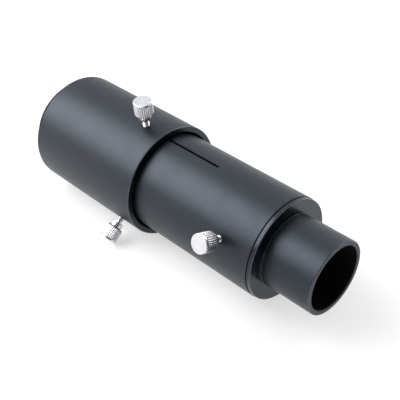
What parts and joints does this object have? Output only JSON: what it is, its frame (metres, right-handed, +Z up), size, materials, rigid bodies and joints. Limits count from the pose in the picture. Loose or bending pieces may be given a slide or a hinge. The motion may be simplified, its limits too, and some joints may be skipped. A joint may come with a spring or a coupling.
{
  "type": "barlow lens",
  "caption": "Sliding projection tube for a telescope, with a slotted draw tube, knurled lock screws, a 1.25-inch nosepiece that holds a negative lens, and a camera thread.",
  "frame": {"origin": "under the middle of the whole object, on the surface that it lies on", "axes": "+X runs along the optical axis from the camera end to the nosepiece rim, +Z is up, and the screw heads stand out towards -Y"},
  "size_m": [0.1584, 0.0582, 0.0635],
  "materials": {
    "tube_black": "satin black anodised",
    "ring_black": "satin black anodised",
    "bright_nickel": "bright nickel plate, diamond knurl",
    "acetal_white": "natural acetal",
    "nylon_pad": "natural nylon",
    "front_glass": "coated optical glass",
    "rear_glass": "coated optical glass"
  },
  "bodies": {
    "outer_body": {"outer_tube": "tube_black", "t_thread_ring": "ring_black"},
    "glide_body": {"draw_glide_ring": "acetal_white"},
    "draw_body": {"inner_tube": "tube_black", "eyepiece_sleeve": "ring_black", "nosepiece_flange": "ring_black", "nosepiece_barrel": "tube_black", "lens_cell": "ring_black", "front_lens": "front_glass", "rear_lens": "rear_glass", "lens_retaining_ring": "ring_black"},
    "top_pad_body": {"top_lock_pad": "nylon_pad"},
    "top_screw_body": {"top_lock_screw": "bright_nickel"},
    "side_pad_body": {"side_lock_pad": "nylon_pad"},
    "side_screw_body": {"side_lock_screw": "bright_nickel"},
    "eyepiece_pad_body": {"eyepiece_lock_pad": "nylon_pad"},
    "eyepiece_screw_body": {"eyepiece_lock_screw": "bright_nickel"}
  },
  "joints": [
    {"name": "draw_slide", "type": "slide", "parent": "outer_body", "child": "glide_body", "axis": [1, 0, 0], "range_m": [-0.038, 0.0025]},
    {"name": "draw_turn", "type": "hinge", "parent": "glide_body", "child": "draw_body", "pos_m": [-0.02645, 0.00342, 0.02568], "axis": [1, 0, 0], "continuous": true},
    {"name": "top_lock_travel", "type": "slide", "parent": "outer_body", "child": "top_pad_body", "axis": [0, -0.1305, 0.9914], "range_m": [-0.0008, 0.0012]},
    {"name": "top_lock_turn", "type": "hinge", "parent": "top_pad_body", "child": "top_screw_body", "pos_m": [-0.02085, 0.00342, 0.02568], "axis": [0, -0.1305, 0.9914], "range_deg": [-576, 864]},
    {"name": "side_lock_travel", "type": "slide", "parent": "outer_body", "child": "side_pad_body", "axis": [0, -0.7934, -0.6088], "range_m": [0, 0.002]},
    {"name": "side_lock_turn", "type": "hinge", "parent": "side_pad_body", "child": "side_screw_body", "pos_m": [-0.02085, 0.00342, 0.02568], "axis": [0, -0.7934, -0.6088], "range_deg": [0, 1440]},
    {"name": "eyepiece_lock_travel", "type": "slide", "parent": "draw_body", "child": "eyepiece_pad_body", "axis": [0, -0.9397, 0.342], "range_m": [-0.00038, 0.002]},
    {"name": "eyepiece_lock_turn", "type": "hinge", "parent": "eyepiece_pad_body", "child": "eyepiece_screw_body", "pos_m": [0.03865, 0.00342, 0.02568], "axis": [0, -0.9397, 0.342], "range_deg": [-270, 1440]}
  ],
  "couplings": [
    {"joint": "top_lock_turn", "follows": "top_lock_travel", "rad_per_m": 12566},
    {"joint": "side_lock_turn", "follows": "side_lock_travel", "rad_per_m": 12566},
    {"joint": "eyepiece_lock_turn", "follows": "eyepiece_lock_travel", "rad_per_m": 12566}
  ]
}
